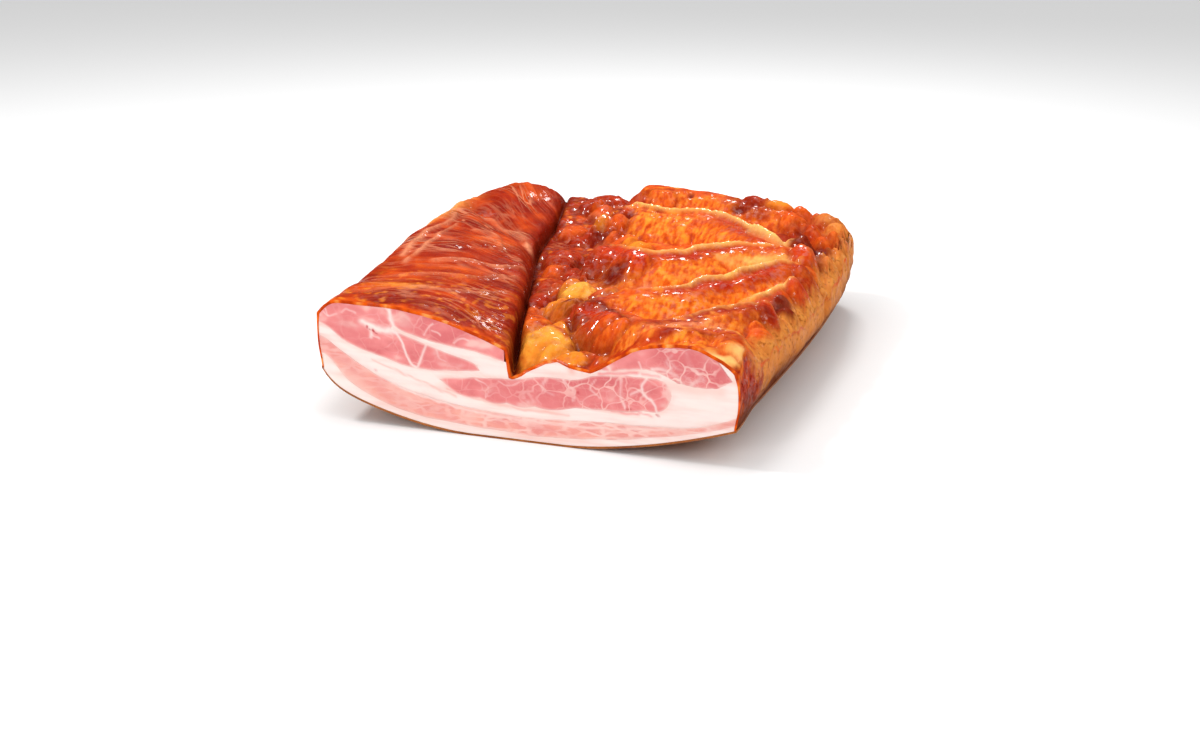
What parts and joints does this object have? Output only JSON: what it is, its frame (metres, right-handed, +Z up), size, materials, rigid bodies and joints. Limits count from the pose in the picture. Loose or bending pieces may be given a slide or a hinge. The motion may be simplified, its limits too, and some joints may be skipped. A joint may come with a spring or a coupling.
{
  "type": "smoked bacon slab",
  "caption": "Slab of smoked pork belly, cut straight across in front to show its layers, with a grooved and ridged browned top.",
  "frame": {"origin": "middle of the bounding box in X and Y, at the bottom of the underside", "axes": "+X to the right seen from the cut, +Y away from the cut along the layers, +Z up"},
  "size_m": [0.3236, 0.374, 0.0809],
  "materials": {
    "fat": "moist, satin",
    "lean": "moist, satin",
    "pale_lean": "moist, satin"
  },
  "bodies": {
    "root": {"fat_skin": "fat", "lean_streak": "pale_lean", "fat_main": "fat", "lean_middle": "lean", "lean_left": "lean", "lean_right": "lean"}
  },
  "joints": []
}
